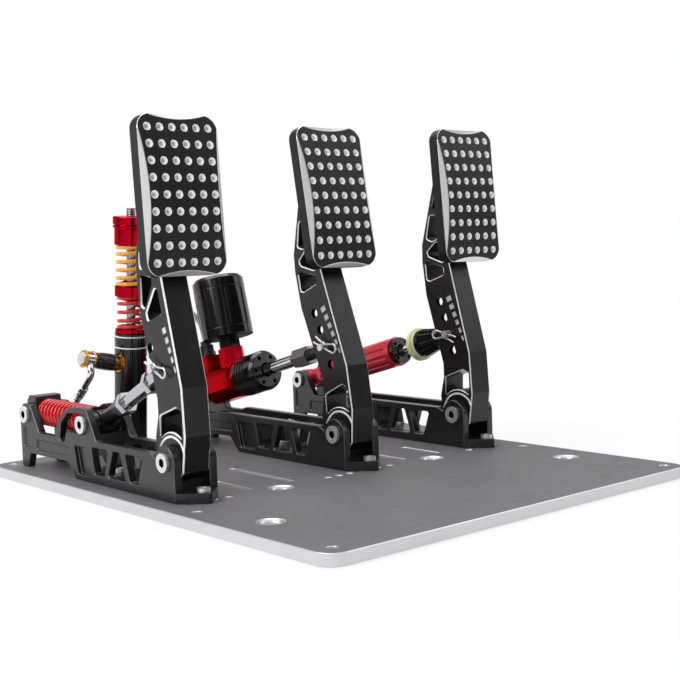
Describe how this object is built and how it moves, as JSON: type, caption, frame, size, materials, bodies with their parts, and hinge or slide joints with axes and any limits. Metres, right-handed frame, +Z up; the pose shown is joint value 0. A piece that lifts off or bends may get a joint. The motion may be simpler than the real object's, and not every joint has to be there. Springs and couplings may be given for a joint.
{
  "type": "sim racing pedal set",
  "caption": "Sim racing pedal set: clutch, brake and throttle pedals on a drilled floor plate, with a hydraulic brake, an upright spring unit and a damped throttle.",
  "frame": {"origin": "centre of the underside of the floor plate", "axes": "+X to the driver's right, +Y away from the driver, +Z up"},
  "size_m": [0.362, 0.442, 0.2789],
  "materials": {
    "plate_grey": "satin",
    "black_satin": "satin",
    "pad_black": "matte",
    "bright_steel": "satin",
    "chrome_rod": "polished",
    "red_metal": "gloss",
    "red_spring": "gloss",
    "yellow_spring": "gloss",
    "black_gloss": "gloss",
    "bronze": "satin",
    "gold_washer": "polished",
    "hose_braid": "satin",
    "bumper": "satin",
    "dark_steel": "satin"
  },
  "bodies": {
    "base": {"base_plate": "plate_grey", "rail_bolts": "bright_steel", "pivot_bolts": "bright_steel", "pivot_bushes": "bronze", "rear_bolts": "bright_steel", "clutch_left_wall": "black_satin", "clutch_right_wall": "black_satin", "clutch_floor": "black_satin", "clutch_rear_seat": "black_satin", "clutch_spring": "red_spring", "brake_left_wall": "black_satin", "brake_right_wall": "black_satin", "brake_floor": "black_satin", "throttle_left_wall": "black_satin", "throttle_right_wall": "black_satin", "throttle_floor": "black_satin", "slave_body": "black_satin", "slave_rod": "dark_steel", "slave_lower_spring": "red_spring", "slave_upper_spring": "yellow_spring", "slave_top": "red_metal", "banjo_adapter": "dark_steel", "banjo_washers": "gold_washer", "banjo_eye": "bright_steel", "banjo_bolt": "bright_steel", "hose": "hose_braid"},
    "clutch_pedal": {"clutch_arm": "black_satin", "clutch_pad": "pad_black", "clutch_pad_screws": "bright_steel", "clutch_clevis_pin": "bright_steel", "clutch_clip": "bright_steel"},
    "clutch_pushrod": {"clutch_rod_fork": "bright_steel", "clutch_rod_tube": "chrome_rod", "clutch_rod_nuts": "chrome_rod", "clutch_rod_end": "black_satin"},
    "clutch_carriage": {"clutch_cam_pin": "bright_steel", "clutch_front_seat": "black_satin"},
    "brake_pedal": {"brake_arm": "black_satin", "brake_pad": "pad_black", "brake_pad_screws": "bright_steel", "brake_clevis_pin": "bright_steel", "brake_clip": "bright_steel"},
    "brake_pushrod": {"brake_rod_fork": "bright_steel", "brake_rod": "chrome_rod"},
    "brake_cylinder": {"cylinder_cap": "black_gloss", "cylinder_body": "red_metal", "reservoir": "black_gloss", "outlet_fitting": "dark_steel"},
    "slave_plunger": {"slave_piston": "red_metal"},
    "slave_sleeve": {"slave_collar": "red_metal"},
    "throttle_pedal": {"throttle_arm": "black_satin", "throttle_pad": "pad_black", "throttle_pad_screws": "bright_steel", "throttle_clevis_pin": "bright_steel", "throttle_clip": "bright_steel"},
    "throttle_plunger": {"damper_knob": "black_gloss", "bumper_ring": "bumper", "damper_rod": "chrome_rod"},
    "throttle_cylinder": {"damper_cap": "black_gloss", "damper_body": "red_metal"}
  },
  "joints": [
    {"name": "clutch_pedal_pivot", "type": "hinge", "parent": "base", "child": "clutch_pedal", "pos_m": [-0.1456, -0.023, 0.0365], "axis": [-1, 0, 0], "range_deg": [0, 18], "stiffness_Nm_per_rad": 20, "springref_deg": -14.32},
    {"name": "clutch_rod_pivot", "type": "hinge", "parent": "clutch_pedal", "child": "clutch_pushrod", "pos_m": [-0.1456, -0.0078, 0.10115], "axis": [-1, 0, 0], "range_deg": [-22.4, 0.2]},
    {"name": "clutch_carriage_slide", "type": "slide", "parent": "base", "child": "clutch_carriage", "axis": [0, 1, 0], "range_m": [-0.0002, 0.0228], "deforming": ["clutch_spring"]},
    {"name": "brake_pedal_pivot", "type": "hinge", "parent": "base", "child": "brake_pedal", "pos_m": [0.0116, -0.023, 0.0365], "axis": [-1, 0, 0], "range_deg": [0, 8], "stiffness_Nm_per_rad": 60, "springref_deg": -6.88},
    {"name": "brake_rod_pivot", "type": "hinge", "parent": "brake_pedal", "child": "brake_pushrod", "pos_m": [0.0116, -0.00782, 0.10433], "axis": [-1, 0, 0], "range_deg": [-8.2, 0.2]},
    {"name": "brake_cylinder_pivot", "type": "hinge", "parent": "base", "child": "brake_cylinder", "pos_m": [0.0116, 0.1866, 0.0527], "axis": [-1, 0, 0], "range_deg": [-0.2, 0.2]},
    {"name": "slave_piston_slide", "type": "slide", "parent": "base", "child": "slave_plunger", "axis": [0, -0.0854, 0.9963], "range_m": [-0.0002, 0.0062], "deforming": ["slave_lower_spring"]},
    {"name": "slave_collar_slide", "type": "slide", "parent": "base", "child": "slave_sleeve", "axis": [0, -0.0854, 0.9963], "range_m": [-0.0002, 0.0032], "deforming": ["slave_upper_spring"]},
    {"name": "throttle_pedal_pivot", "type": "hinge", "parent": "base", "child": "throttle_pedal", "pos_m": [0.1464, -0.023, 0.0365], "axis": [-1, 0, 0], "range_deg": [0, 12], "stiffness_Nm_per_rad": 12, "springref_deg": -11.46},
    {"name": "throttle_knob_pivot", "type": "hinge", "parent": "throttle_pedal", "child": "throttle_plunger", "pos_m": [0.1464, -0.01355, 0.10536], "axis": [-1, 0, 0], "range_deg": [-12.1, 0.2]},
    {"name": "throttle_damper_pivot", "type": "hinge", "parent": "base", "child": "throttle_cylinder", "pos_m": [0.1464, 0.1866, 0.0527], "axis": [-1, 0, 0], "range_deg": [-0.1, 0.3]}
  ],
  "couplings": [
    {"joint": "clutch_rod_pivot", "follows": "clutch_pedal_pivot", "ratio": -1.2315},
    {"joint": "clutch_carriage_slide", "follows": "clutch_pedal_pivot", "m_per_rad": 0.0721},
    {"joint": "brake_rod_pivot", "follows": "brake_pedal_pivot", "ratio": -1.0058},
    {"joint": "brake_cylinder_pivot", "follows": "brake_pedal_pivot", "ratio": -0.00582},
    {"joint": "slave_piston_slide", "follows": "brake_pedal_pivot", "m_per_rad": 0.04297},
    {"joint": "slave_collar_slide", "follows": "brake_pedal_pivot", "m_per_rad": 0.021486},
    {"joint": "throttle_knob_pivot", "follows": "throttle_pedal_pivot", "ratio": -0.98672},
    {"joint": "throttle_damper_pivot", "follows": "throttle_pedal_pivot", "ratio": 0.01328}
  ]
}
